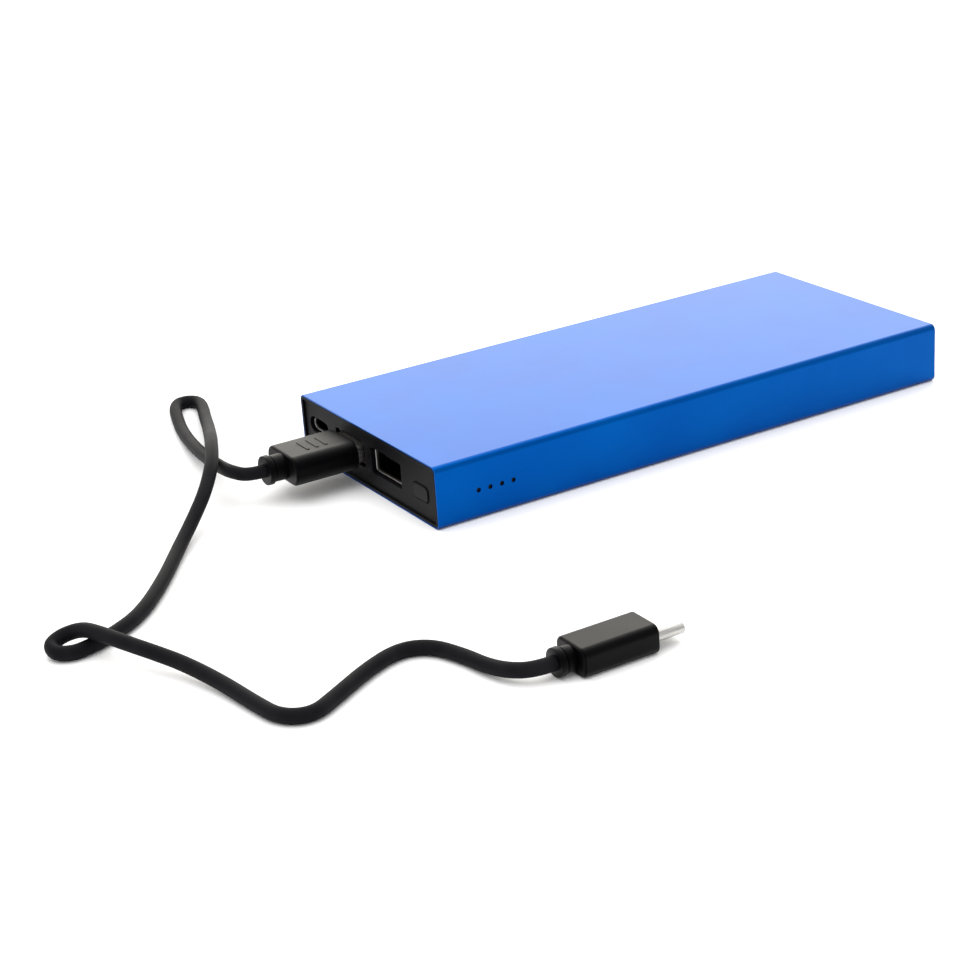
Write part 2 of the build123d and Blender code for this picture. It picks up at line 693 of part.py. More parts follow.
def strain_relief(front, spot, length, neck_diameter, collar_diameter):
    """Round neck behind a moulding, ending in the collar bead that the cable leaves."""
    with BuildPart() as relief:
        with BuildSketch(Plane.YZ.offset(front)):
            with Locations(spot):
                Circle(neck_diameter / 2)
        extrude(amount=-length)
        with BuildSketch(Plane.YZ.offset(front - length)):
            with Locations(spot):
                Circle(collar_diameter / 2)
        extrude(amount=collar_width)
        fillet(relief.edges().filter_by(GeomType.CIRCLE).group_by(SortBy.RADIUS)[-1], collar_fillet)
    return relief


plug_spot = (usb_a_spots[0], usb_a_z)
plug_inner = (plug_shell_size[0] - 2 * plug_shell_wall, plug_shell_size[1] - 2 * plug_shell_wall)
plug_shell_end_x = plug_front_x - plug_embed
with BuildPart() as usb_a_plug_shell:
    with BuildSketch(Plane.YZ.offset(plug_shell_end_x)):
        with Locations(plug_spot):
            RectangleRounded(*plug_shell_size, plug_shell_radius)
            Rectangle(*plug_inner, mode=Mode.SUBTRACT)
    extrude(amount=plug_tip_x - plug_shell_end_x)
    window_x = plug_tip_x - window_setback - window_size[0] / 2
    with Locations((window_x, *plug_spot)):
        with GridLocations(0, window_spacing, 1, 2):
            Box(*window_size, 2 * plug_shell_size[1], mode=Mode.SUBTRACT)
save(usb_a_plug_shell, "usb_a_plug_shell")

insert_base_z = usb_a_z - plug_inner[1] / 2
insert_top_z = insert_base_z + plug_insert_thickness
plug_contact_top_z = insert_top_z + contact_proud
plug_contact_length = plug_tip_x - plug_contact_setback - plug_shell_end_x
plug_contact_x = plug_shell_end_x + plug_contact_length / 2
plug_contact_z = plug_contact_top_z - contact_thickness / 2
plug_contact_spots = [(plug_contact_x, plug_spot[0] + y, plug_contact_z) for y in usb_a_contact_spots]
with BuildPart() as usb_a_plug_insert:
    half_width = plug_inner[0] / 2 - embed_gap
    block(
        (plug_shell_end_x, plug_spot[0] - half_width, insert_base_z + embed_gap),
        (plug_tip_x - plug_insert_setback, plug_spot[0] + half_width, insert_top_z),
    )
    with Locations(*plug_contact_spots):
        Box(plug_contact_length, contact_width + 2 * embed_gap, contact_thickness, mode=Mode.SUBTRACT)
save(usb_a_plug_insert, "usb_a_plug_insert")

with BuildPart() as usb_a_plug_contacts:
    with Locations(*plug_contact_spots):
        Box(plug_contact_length, contact_width, contact_thickness)
save(usb_a_plug_contacts, "usb_a_plug_contacts")

with BuildPart() as usb_a_plug_body:
    add(
        plug_moulding(
            plug_front_x, plug_spot, plug_body_size, plug_body_length, plug_body_radius,
            plug_shell_size, plug_shell_radius, plug_embed,
        )
    )
    grip_x = plug_front_x - plug_body_length / 2
    with Locations((grip_x, plug_spot[0], usb_a_z + plug_body_size[1] / 2)):
        with GridLocations(grip_bar_pitch, 0, grip_bar_count, 1):
            Box(*grip_bar_size, 2 * grip_bar_height)
save(usb_a_plug_body, "usb_a_plug_body")
save(
    strain_relief(plug_rear_x, plug_spot, plug_neck_length, plug_neck_diameter, plug_collar_diameter),
    "usb_a_strain_relief",
)

small_spot = (small_plug_y, small_plug_z)
with BuildPart() as usb_c_plug_body:
    add(
        plug_moulding(
            small_plug_front_x, small_spot, small_body_size, small_body_length, small_body_radius,
            small_shell_size, small_shell_size[1] / 2, small_embed,
        )
    )
save(usb_c_plug_body, "usb_c_plug_body")
save(
    strain_relief(
        small_plug_rear_x, small_spot, small_neck_length, small_neck_diameter, small_collar_diameter,
    ),
    "usb_c_strain_relief",
)

small_inner = (small_shell_size[0] - 2 * small_shell_wall, small_shell_size[1] - 2 * small_shell_wall)
small_tip_x = small_plug_front_x + small_shell_length
small_end_x = small_plug_front_x - small_embed
with BuildPart() as usb_c_plug_shell:
    with BuildSketch(Plane.YZ.offset(small_end_x)):
        with Locations(small_spot):
            SlotOverall(*small_shell_size)
            SlotOverall(*small_inner, mode=Mode.SUBTRACT)
    extrude(amount=small_tip_x - small_end_x)
save(usb_c_plug_shell, "usb_c_plug_shell")

with BuildPart() as usb_c_plug_insert:
    with BuildSketch(Plane.YZ.offset(small_end_x)):
        with Locations(small_spot):
            SlotOverall(small_inner[0] - 2 * embed_gap, small_inner[1] - 2 * embed_gap)
    extrude(amount=small_tip_x - small_end_x - small_insert_setback)
    slot_x = small_tip_x - small_slot_depth
    with BuildSketch(Plane.YZ.offset(slot_x)):
        with Locations(small_spot):
            Rectangle(*small_slot_size)
    extrude(amount=small_slot_depth, mode=Mode.SUBTRACT)
save(usb_c_plug_insert, "usb_c_plug_insert")

# Cable: straight runs joined by the largest arcs that they leave room for
points = [Vector(*point) for point in cable_route]
runs = [after - before for before, after in zip(points, points[1:])]
radii = []
for before, after in zip(runs, runs[1:]):
    half_turn = radians(before.get_angle(after)) / 2
    radii.append(arc_share * min(before.length, after.length) / tan(half_turn))
with BuildPart() as lead_cable:
    with BuildLine() as cable_path:
        FilletPolyline(*points, radius=radii)
    with BuildSketch(Plane(origin=points[0], z_dir=runs[0])):
        Circle(cable_diameter / 2)
    sweep(path=cable_path.line)
save(lead_cable, "lead_cable")

cable_length = cable_path.wires()[0].length
section = pi * cable_diameter**2 / 4
print("cable arc radii:", [round(radius, 1) for radius in radii])
print(f"cable length {cable_length:.1f}, section x length {section * cable_length:.1f}")
print(f"cable volume {lead_cable.part.volume:.1f}")
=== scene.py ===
import json
from math import radians

import bmesh
import bpy
from mathutils import Matrix, Vector


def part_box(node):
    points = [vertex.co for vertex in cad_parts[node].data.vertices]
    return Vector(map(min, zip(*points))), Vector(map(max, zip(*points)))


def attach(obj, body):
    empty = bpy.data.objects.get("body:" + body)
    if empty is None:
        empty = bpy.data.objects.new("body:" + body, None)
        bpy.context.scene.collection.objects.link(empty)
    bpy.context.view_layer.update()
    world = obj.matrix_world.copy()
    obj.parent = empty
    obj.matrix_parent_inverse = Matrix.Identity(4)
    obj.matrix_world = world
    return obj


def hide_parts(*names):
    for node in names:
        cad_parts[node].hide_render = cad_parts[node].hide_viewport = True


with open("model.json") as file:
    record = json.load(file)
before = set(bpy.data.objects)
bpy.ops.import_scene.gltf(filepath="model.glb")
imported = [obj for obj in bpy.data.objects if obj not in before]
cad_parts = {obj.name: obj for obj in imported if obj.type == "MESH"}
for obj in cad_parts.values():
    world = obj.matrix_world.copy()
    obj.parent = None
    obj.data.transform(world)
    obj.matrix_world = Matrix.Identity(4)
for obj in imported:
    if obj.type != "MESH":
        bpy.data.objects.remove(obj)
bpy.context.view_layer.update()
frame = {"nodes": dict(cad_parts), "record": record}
mm = 0.001
print("frame loaded:", len(frame["nodes"]), "nodes")


# a node's output, with arithmetic that adds Math nodes
class Wire:
    def __init__(self, tree, socket):
        self.tree = tree
        self.socket = socket

    # any node: settings go in before its sockets are filled or linked
    def node(self, kind, settings, sockets, outlet=0):
        made = self.tree.nodes.new(kind)
        for key, value in settings.items():
            setattr(made, key, value)
        for key, value in sockets.items():
            if isinstance(value, Wire):
                self.tree.links.new(value.socket, made.inputs[key])
            else:
                made.inputs[key].default_value = value
        return Wire(self.tree, made.outputs[outlet])

    def maths(self, operation, left, right):
        return self.node("ShaderNodeMath", {"operation": operation}, {0: left, 1: right})

    def __add__(self, other):
        return self.maths("ADD", self, other)

    def __radd__(self, other):
        return self.maths("ADD", other, self)

    def __sub__(self, other):
        return self.maths("SUBTRACT", self, other)

    def __rsub__(self, other):
        return self.maths("SUBTRACT", other, self)

    def __mul__(self, other):
        return self.maths("MULTIPLY", self, other)

    def __rmul__(self, other):
        return self.maths("MULTIPLY", other, self)


def startFinish(name, fixed):
    material = bpy.data.materials.new(name)
    material.use_nodes = True
    tree = material.node_tree
    shader = tree.nodes["Principled BSDF"]
    for socketName, value in fixed.items():
        shader.inputs[socketName].default_value = value
    place = Wire(tree, tree.nodes.new("ShaderNodeTexCoord").outputs["Object"])
    return material, shader, place


def feed(shader, socketName, wire):
    wire.tree.links.new(wire.socket, shader.inputs[socketName])


def noise(place, size, detail=2.0, roughness=0.5):
    # size is the width of one blotch, in metres
    return place.node(
        "ShaderNodeTexNoise",
        {},
        {"Vector": place, "Scale": 1 / size, "Detail": detail, "Roughness": roughness},
    )


def stretch(place, scale):
    return place.node("ShaderNodeMapping", {}, {"Vector": place, "Scale": scale})


def window(wire, low, high):
    # 0 below low, 1 above high, smooth between
    return wire.node(
        "ShaderNodeMapRange",
        {"interpolation_type": "SMOOTHSTEP"},
        {"Value": wire, "From Min": low, "From Max": high},
    )


def tone(factor, first, second):
    # sockets 0, 6 and 7 are the Mix node's factor and its two colours, and outlet 2 its colour
    sockets = {0: factor, 6: (*first, 1), 7: (*second, 1)}
    return factor.node("ShaderNodeMix", {"data_type": "RGBA"}, sockets, outlet=2)


def grain(shader, height, distance, strength):
    bump = height.node("ShaderNodeBump", {}, {"Height": height, "Distance": distance, "Strength": strength})
    feed(shader, "Normal", bump)


# finishes
anodising = {
    "tint": (0.0, 0.064, 0.3),
    "paleTint": (0.0, 0.076, 0.33),
    "roughness": 0.36,
    "grainSize": 0.16 * mm,
    "drawLine": 0.5 * mm,
}


def blueAnodised():
    s = anodising
    material, shader, place = startFinish("blueAnodised", {"Metallic": 1.0})
    beads = noise(place, s["grainSize"], 3.0, 0.6)
    clouds = noise(place, 18 * mm, 2.0)
    drawn = noise(stretch(place, (0.02, 1.0, 1.0)), s["drawLine"], 2.0)
    feed(shader, "Base Color", tone(window(clouds + 0.25 * beads, 0.35, 0.9), s["tint"], s["paleTint"]))
    relief = 0.02 * (clouds - 0.5) + 0.07 * (beads - 0.5) + 0.03 * (drawn - 0.5)
    feed(shader, "Roughness", s["roughness"] + relief)
    grain(shader, beads + 0.25 * drawn, 0.006 * mm, 0.6)
    return material


def moulded(name, dark, light, roughness, grainSize, depth, ior=1.45, faceGloss=1.0):
    # fine spark-eroded texture of a moulded plastic; faceGloss is the sheen seen straight on
    material, shader, place = startFinish(name, {"IOR": ior, "Specular Tint": (faceGloss,) * 3 + (1,)})
    pits = noise(place, grainSize, 3.0, 0.65)
    patches = noise(place, 9 * mm, 2.0)
    feed(shader, "Base Color", tone(window(patches + 0.3 * pits, 0.3, 0.95), dark, light))
    feed(shader, "Roughness", roughness + 0.12 * (patches - 0.5) + 0.1 * (pits - 0.5))
    grain(shader, pits, depth, 0.7)
    return material


def brushed(name, dark, light, roughness, streak, along, metallic=1.0):
    # rolled or plated sheet, with faint streaks along one axis
    material, shader, place = startFinish(name, {"Metallic": metallic})
    streaks = noise(stretch(place, along), streak, 3.0, 0.6)
    spots = noise(place, 1.6 * mm, 2.0)
    feed(shader, "Base Color", tone(window(streaks, 0.3, 0.75), dark, light))
    feed(shader, "Roughness", roughness + 0.15 * (streaks - 0.5) + 0.1 * (spots - 0.5))
    grain(shader, streaks, 0.003 * mm, 0.4)
    return material


throat = {
    "rim": (0.5, 0.49, 0.47),
    "deep": (0.012, 0.0118, 0.0115),
    "rimDepth": 0.25 * mm,
    "deepFrom": 1.1 * mm,
    "roughness": 0.34,
}


def socketTin():
    # plated sheet that is bright at its rim and darkens down the throat, where little light reaches
    s = throat
    material, shader, place = startFinish("socketTin", {"Metallic": 1.0})
    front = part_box("usb_c_shell")[0][0]
    along = place.node("ShaderNodeSeparateXYZ", {}, {"Vector": place})
    streaks = noise(stretch(place, (0.06, 1, 1)), 0.25 * mm, 3.0, 0.6)
    depth = window(along + 0.2 * mm * streaks, front + s["rimDepth"], front + s["deepFrom"])
    feed(shader, "Base Color", tone(depth, s["rim"], s["deep"]))
    feed(shader, "Roughness", s["roughness"] + 0.15 * (streaks - 0.5))
    grain(shader, streaks, 0.003 * mm, 0.4)
    return material


jacket = {
    "dark": (0.006, 0.006, 0.0072),
    "light": (0.0105, 0.0103, 0.012),
    "roughness": 0.56,
    "grainSize": 0.12 * mm,
}


def cableJacket():
    s = jacket
    fixed = {"IOR": 1.14, "Specular Tint": (0.6, 0.6, 0.64, 1)}
    material, shader, place = startFinish("cableJacket", fixed)
    skin = noise(place, s["grainSize"], 3.0, 0.6)
    rub = noise(place, 5 * mm, 3.0)
    feed(shader, "Base Color", tone(window(rub + 0.2 * skin, 0.4, 0.9), s["dark"], s["light"]))
    feed(shader, "Roughness", s["roughness"] + 0.14 * (rub - 0.5) + 0.06 * (skin - 0.5))
    grain(shader, skin + 0.6 * rub, 0.01 * mm, 0.5)
    return material


def greenBoard():
    # solder mask over copper: pads and tracks show as paler bands
    material, shader, place = startFinish("greenBoard", {"Coat Weight": 0.4, "Coat Roughness": 0.2})
    cells = place.node(
        "ShaderNodeTexVoronoi",
        {"feature": "DISTANCE_TO_EDGE", "distance": "CHEBYCHEV"},
        {"Vector": place, "Scale": 1 / (2.6 * mm), "Randomness": 0.8},
    )
    tracks = 1 - window(cells, 0.05, 0.1)
    weave = noise(place, 0.4 * mm, 2.0)
    feed(shader, "Base Color", tone(tracks, (0.004, 0.06, 0.028), (0.01, 0.12, 0.05)))
    feed(shader, "Roughness", 0.38 + 0.15 * (weave - 0.5) + 0.05 * tracks)
    grain(shader, 0.5 * tracks + 0.2 * weave, 0.02 * mm, 0.6)
    return material


def pouchFoil():
    material, shader, place = startFinish("pouchFoil", {"Metallic": 0.85})
    creases = noise(place, 7 * mm, 4.0, 0.6)
    fine = noise(place, 0.5 * mm, 2.0)
    feed(shader, "Base Color", tone(window(creases, 0.3, 0.75), (0.42, 0.43, 0.45), (0.62, 0.63, 0.66)))
    feed(shader, "Roughness", 0.34 + 0.2 * (creases - 0.5) + 0.1 * (fine - 0.5))
    grain(shader, creases + 0.15 * fine, 0.12 * mm, 0.5)
    return material


def foam(name, dark, light, poreSize):
    material, shader, place = startFinish(name, {"Roughness": 0.9})
    pores = place.node("ShaderNodeTexVoronoi", {}, {"Vector": place, "Scale": 1 / poreSize})
    soft = noise(place, 4 * mm, 2.0)
    feed(shader, "Base Color", tone(window(pores + 0.4 * soft, 0.2, 0.9), dark, light))
    feed(shader, "Roughness", 0.85 + 0.1 * (soft - 0.5))
    grain(shader, pores, 0.1 * mm, 0.6)
    return material


finishes = {
    "sleeve": blueAnodised(),
    "cap": moulded(
        "capPlastic", (0.0016, 0.0015, 0.0024), (0.0036, 0.0034, 0.0045),
        0.52, 0.18 * mm, 0.012 * mm, 1.28, 0.1
    ),
    "button": moulded(
        "buttonPlastic", (0.0016, 0.0015, 0.0024), (0.0034, 0.0032, 0.0043),
        0.47, 0.12 * mm, 0.006 * mm, 1.28, 0.1
    ),
    "socket_metal": brushed(
        "nickelPlate", (0.38, 0.37, 0.36), (0.58, 0.57, 0.55), 0.3, 0.25 * mm, (0.06, 1, 1)
    ),
    "throat": socketTin(),
    "tongue": moulded(
        "blackNylon", (0.003, 0.003, 0.0035), (0.006, 0.006, 0.0065), 0.5, 0.15 * mm, 0.006 * mm, 1.3, 0.3
    ),
    "gold": brushed(
        "goldPlate", (0.62, 0.40, 0.12), (0.84, 0.60, 0.24), 0.24, 0.12 * mm, (0.1, 1, 1)
    ),
    "carrier": moulded(
        "greyMoulding", (0.05, 0.05, 0.054), (0.075, 0.075, 0.08), 0.55, 0.25 * mm, 0.015 * mm
    ),
    "pouch": pouchFoil(),
    "foam": foam("darkFoam", (0.02, 0.02, 0.022), (0.06, 0.06, 0.065), 0.5 * mm),
    "tape": foam("paleTape", (0.45, 0.43, 0.36), (0.62, 0.6, 0.52), 0.3 * mm),
    "nickel": brushed(
        "nickelStrip", (0.45, 0.44, 0.4), (0.62, 0.6, 0.56), 0.35, 0.2 * mm, (0.08, 1, 1)
    ),
    "board": greenBoard(),
    "screw": brushed("zincScrew", (0.3, 0.3, 0.31), (0.5, 0.5, 0.52), 0.32, 0.1 * mm, (1, 1, 0.3)),
    "chip": moulded("epoxy", (0.01, 0.01, 0.011), (0.02, 0.02, 0.021), 0.6, 0.1 * mm, 0.006 * mm),
    "ferrite": moulded(
        "ferrite", (0.05, 0.05, 0.053), (0.09, 0.09, 0.095), 0.65, 0.2 * mm, 0.02 * mm
    ),
    "ceramic": moulded("ceramic", (0.32, 0.21, 0.12), (0.42, 0.3, 0.18), 0.35, 0.15 * mm, 0.004 * mm),
    "led": moulded("clearEpoxy", (0.6, 0.6, 0.45), (0.75, 0.74, 0.6), 0.25, 0.2 * mm, 0.003 * mm),
    "guide": moulded(
        "smokedGuide", (0.002, 0.002, 0.0025), (0.004, 0.004, 0.0045), 0.35, 0.2 * mm, 0.002 * mm, 1.3, 0.2
    ),
    "plug_moulding": moulded(
        "plugMoulding", (0.0006, 0.0006, 0.0009), (0.0018, 0.0018, 0.0022),
        0.43, 0.2 * mm, 0.014 * mm, 1.45, 0.03
    ),
    "cable": cableJacket(),
}
for row in frame["record"]["subparts"]:
    node = frame["nodes"][row["node"]]
    node.data.materials.clear()
    node.data.materials.append(finishes[row["material_slot"]])
print("finishes made:", len(finishes))


# mesh helpers: a form is worked in millimetres, and put() turns it into metres
def cadBox(node):
    return [Vector(corner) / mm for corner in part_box(node)]


def addBlock(form, low, high):
    corners = bmesh.ops.create_cube(form, size=1)["verts"]
    bmesh.ops.scale(form, vec=Vector(high) - Vector(low), verts=corners)
    bmesh.ops.translate(form, vec=(Vector(high) + Vector(low)) / 2, verts=corners)


def roundOff(form, edges, radius, segments):
    bmesh.ops.bevel(
        form,
        geom=edges,
        offset=radius,
        segments=segments,
        profile=0.5,
        affect="EDGES",
        material=-1,
        clamp_overlap=True,
    )


def edgesAlong(form, axis):
    def runs(edge):
        return (edge.verts[0].co - edge.verts[1].co).normalized()

    return [edge for edge in form.edges if abs(runs(edge)[axis]) > 0.99]


def sharpEdges(form, wanted):
    # edges that turn by more than 35 degrees and whose middle passes the test
    form.normal_update()
    joined = [edge for edge in form.edges if len(edge.link_faces) == 2]
    turning = [edge for edge in joined if edge.calc_face_angle() > radians(35)]
    return [edge for edge in turning if wanted((edge.verts[0].co + edge.verts[1].co) / 2)]


def edgesAt(form, x):
    return sharpEdges(form, lambda middle: abs(middle.x - x) < 0.001)


def bar(low, high, radius, segments=8, frontSoft=0, rearSoft=0):
    # a rounded bar along X, with softer rims at its low and high ends where given
    form = bmesh.new()
    addBlock(form, low, high)
    roundOff(form, edgesAlong(form, 0), radius, segments)
    for place, soft in ((low[0], frontSoft), (high[0], rearSoft)):
        if soft:
            roundOff(form, edgesAt(form, place), soft, 4)
    return form


def upright(x, y, z, width, height, length, radius, segments=8):
    # a bar given by the middle of its low X end
    low = (x, y - width / 2, z - height / 2)
    return bar(low, (x + length, y + width / 2, z + height / 2), radius, segments)


def blocks(*pairs):
    form = bmesh.new()
    for low, high in pairs:
        addBlock(form, low, high)
    return form


def combine(form, other, operation="DIFFERENCE"):
    # one Boolean, worked out straight away
    pair = []
    for part in (form, other):
        mesh = bpy.data.meshes.new("working")
        part.to_mesh(mesh)
        part.free()
        made = bpy.data.objects.new("working", mesh)
        bpy.context.scene.collection.objects.link(made)
        pair.append(made)
    change = pair[0].modifiers.new("combine", "BOOLEAN")
    change.operation = operation
    change.solver = "EXACT"
    change.object = pair[1]
    worked = pair[0].evaluated_get(bpy.context.evaluated_depsgraph_get())
    result = bmesh.new()
    result.from_mesh(worked.to_mesh())
    worked.to_mesh_clear()
    for made in pair:
        mesh = made.data
        bpy.data.objects.remove(made)
        bpy.data.meshes.remove(mesh)
    bmesh.ops.remove_doubles(result, verts=result.verts, dist=0.001)
    return result


def turned(outline, front, y, z, soft):
    # outline gives distance behind the front and radius; it is spun about X
    form = bmesh.new()
    points = [form.verts.new((-back, 0, radius)) for back, radius in outline]
    line = [form.edges.new(pair) for pair in zip(points, points[1:])]
    bmesh.ops.spin(
        form,
        geom=points + line,
        cent=(0, 0, 0),
        axis=(1, 0, 0),
        dvec=(0, 0, 0),
        angle=radians(360),
        steps=64,
        use_merge=True,
    )
    bmesh.ops.remove_doubles(form, verts=form.verts, dist=0.001)
    bmesh.ops.recalc_face_normals(form, faces=form.faces)
    roundOff(form, sharpEdges(form, lambda middle: True), soft, 3)
    bmesh.ops.translate(form, vec=(front, y, z), verts=form.verts)
    return form


def put(name, form, slot, body, *replaced, finish=None):
    bmesh.ops.scale(form, vec=(mm, mm, mm), verts=form.verts)
    for face in form.faces:
        face.smooth = True
    mesh = bpy.data.meshes.new(name)
    form.to_mesh(mesh)
    form.free()
    mesh.set_sharp_from_angle(angle=radians(35))
    piece = bpy.data.objects.new(name, mesh)
    bpy.context.scene.collection.objects.link(piece)
    mesh.materials.append(finishes[finish or slot])
    even = piece.modifiers.new("evenShading", "WEIGHTED_NORMAL")
    even.keep_sharp = True
    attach(piece, body)
    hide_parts(*replaced)
    return piece


# sleeve
tube = {
    "edgeRadius": 1.5,
    "wall": 0.9,
    "lipWall": 0.4,
    "rebateDepth": 1.6,
    "mouthSoft": 0.14,
    "holeCount": 4,
    "holeDiameter": 1.1,
    "holeHeight": 7.0,
    "holeSoft": 0.07,
    "ledLength": 1.6,
}


def hollow(box, ends, wall, radius):
    # the space inside a rounded box, between two X ends
    low, high = box
    inset = Vector((0, wall, wall))
    return bar((ends[0], *(low + inset).yz), (ends[1], *(high - inset).yz), radius, 6)


def makeSleeve():
    s = tube
    box = cadBox("sleeve")
    low, high = box
    form = bar(low, high, s["edgeRadius"])
    form = combine(form, hollow(box, (low.x - 1, high.x + 1), s["wall"], s["edgeRadius"] - s["wall"]))
    for ends in ((low.x - 1, low.x + s["rebateDepth"]), (high.x - s["rebateDepth"], high.x + 1)):
        form = combine(form, hollow(box, ends, s["lipWall"], s["edgeRadius"] - s["lipWall"]))
    ledLow, ledHigh = cadBox("indicator_leds")
    pitch = (ledHigh.x - ledLow.x - s["ledLength"]) / (s["holeCount"] - 1)
    radius = s["holeDiameter"] / 2
    sideways = Matrix.Rotation(radians(90), 3, "X")
    drills = bmesh.new()
    for count in range(s["holeCount"]):
        made = bmesh.ops.create_cone(
            drills, cap_ends=True, segments=40, radius1=radius, radius2=radius, depth=3
        )
        spot = (ledLow.x + s["ledLength"] / 2 + pitch * count, low.y, s["holeHeight"])
        bmesh.ops.rotate(drills, cent=(0, 0, 0), matrix=sideways, verts=made["verts"])
        bmesh.ops.translate(drills, vec=spot, verts=made["verts"])
    form = combine(form, drills)
    rims = sharpEdges(form, lambda middle: min(abs(middle.x - low.x), abs(middle.x - high.x)) < 0.001)
    roundOff(form, rims, s["mouthSoft"], 2)
    away = 5  # the holes are further than this from either mouth
    holeRims = sharpEdges(
        form, lambda middle: abs(middle.y - low.y) < 0.001 and low.x + away < middle.x < high.x - away
    )
    roundOff(form, holeRims, s["holeSoft"], 2)
    return put("sleeveTube", form, "sleeve", "case", "sleeve")


# end caps
cap = {
    "flangeDepth": 1.6,
    "flangeRadius": 1.05,
    "skirtInset": 0.5,
    "beadWidth": 0.6,
    "sink": 0.5,
    "panel": 1.6,
    "skirtWall": 1.0,
    "rimSoft": 0.16,
    "openingSoft": 0.16,
    "latchSpot": 20.0,
    "latchWidth": 6.0,
    "latchLength": 1.4,
    "latchInset": 3.6,
    "skirtLap": 0.4,  # where the skirt starts inside the flange
    "latchTop": 2.2,  # top of the latch windows, above the cap's underside
    "usbOpening": (13.8, 6.3),
    "usbRadius": 0.5,
    "smallUsbRoom": (0.6, 0.6),
    "buttonOpening": (6.9, 4.0),
    "buttonHeight": 6.9,
    "buttonRadius": 1.4,
    "cutDepth": 4,
}


def ovalOpening(node, room, mouth):
    # an oval cutter as wide and high as a node's front plus the room round it
    low, high = cadBox(node)
    y, z = (low.y + high.y) / 2, (low.z + high.z) / 2
    width, height = high.y - low.y + room[0], high.z - low.z + room[1]
    return upright(mouth - 1, y, z, width, height, cap["cutDepth"], height / 2 - 0.01, 10)


def makeCap(node, way):
    s = cap
    low, high = cadBox(node)
    mouth = low.x if way > 0 else high.x
    inner = mouth + way * (high.x - low.x)
    panelBack = mouth + way * (s["sink"] + s["panel"])

    def slab(start, end, inset, radius, segments=6):
        near = (min(start, end), low.y + inset, low.z + inset)
        far = (max(start, end), high.y - inset, high.z - inset)
        return bar(near, far, radius, segments)

    form = slab(mouth, mouth + way * s["flangeDepth"], 0, s["flangeRadius"])
    skirt = slab(mouth + way * s["skirtLap"], inner, s["skirtInset"], s["flangeRadius"] - s["skirtInset"])
    form = combine(form, skirt, "UNION")
    sunk = slab(mouth - way, mouth + way * s["sink"], s["beadWidth"], s["flangeRadius"] - s["beadWidth"])
    form = combine(form, sunk)
    form = combine(form, slab(panelBack, inner + way, s["skirtInset"] + s["skirtWall"], 0.1, 2))
    ends = sorted((mouth + way * s["latchInset"], mouth + way * (s["latchInset"] + s["latchLength"])))
    half = s["latchWidth"] / 2
    windows = [
        ((ends[0], y - half, low.z - 1), (ends[1], y + half, low.z + s["latchTop"]))
        for y in (-s["latchSpot"], s["latchSpot"])
    ]
    return combine(form, blocks(*windows)), mouth


def makePortCap():
    s = cap
    low, high = cadBox("port_cap")
    form, mouth = makeCap("port_cap", 1)
    shellLow, shellHigh = cadBox("usb_a_shell_1")
    z = (shellLow.z + shellHigh.z) / 2
    for node in ("usb_a_tongue_1", "usb_a_tongue_2"):
        socketLow, socketHigh = cadBox(node)
        y = (socketLow.y + socketHigh.y) / 2
        form = combine(form, upright(mouth - 1, y, z, *s["usbOpening"], s["cutDepth"], s["usbRadius"]))
    form = combine(form, ovalOpening("usb_c_shell", s["smallUsbRoom"], mouth))
    buttonLow, buttonHigh = cadBox("power_button")
    y = (buttonLow.y + buttonHigh.y) / 2
    hole = upright(mouth - 1, y, s["buttonHeight"], *s["buttonOpening"], s["cutDepth"], s["buttonRadius"])
    form = combine(form, hole)
    roundOff(form, edgesAt(form, mouth), s["rimSoft"], 3)
    panel = mouth + s["sink"]
    inside = s["beadWidth"] + 0.3  # clear of the bead
    rims = sharpEdges(
        form,
        lambda middle: abs(middle.x - panel) < 0.001
        and low.y + inside < middle.y < high.y - inside
        and low.z + inside < middle.z < high.z - inside,
    )
    roundOff(form, rims, s["openingSoft"], 3)
    return put("portCap", form, "cap", "case", "port_cap")


def makeRearCap():
    form, mouth = makeCap("rear_cap", -1)
    roundOff(form, edgesAt(form, mouth), cap["rimSoft"], 3)
    return put("rearCap", form, "cap", "case", "rear_cap")


# power button
button = {
    "width": 6.6,
    "height": 3.7,
    "radius": 1.25,
    "soft": 0.35,
    "reach": 1.9,  # front face to flange
    "flange": 0.8,
    "flangeRadius": 1.2,
    "stem": (3.0, 1.6),
    "overlap": 0.2,
}


def makeButton():
    s = button
    low, high = cadBox("power_button")
    y, z = (low.y + high.y) / 2, (low.z + high.z) / 2
    shoulder = low.x + s["reach"]
    inside = shoulder + s["overlap"]
    form = bar(
        (low.x, y - s["width"] / 2, z - s["height"] / 2),
        (inside, y + s["width"] / 2, z + s["height"] / 2),
        s["radius"],
        8,
        s["soft"],
    )
    flange = bar((shoulder, low.y, low.z), (shoulder + s["flange"], high.y, high.z), s["flangeRadius"])
    form = combine(form, flange, "UNION")
    plungerLow, plungerHigh = cadBox("tact_plunger")
    stemZ = (plungerLow.z + plungerHigh.z) / 2
    halfWidth, halfHeight = s["stem"][0] / 2, s["stem"][1] / 2
    stem = blocks(
        ((inside, y - halfWidth, stemZ - halfHeight), (high.x, y + halfWidth, stemZ + halfHeight))
    )
    form = combine(form, stem, "UNION")
    return put("powerKey", form, "button", "power_button", "power_button")


# sockets
socket = {
    "wall": 0.3,
    "radius": 0.6,
    "rimSoft": 0.1,
    "width": 13.1,
    "springs": (-3.2, 3.2),
    "springStart": 3.0,
    "springWidth": 2.2,
    "springLength": 6.0,
    "springCut": 0.3,
}


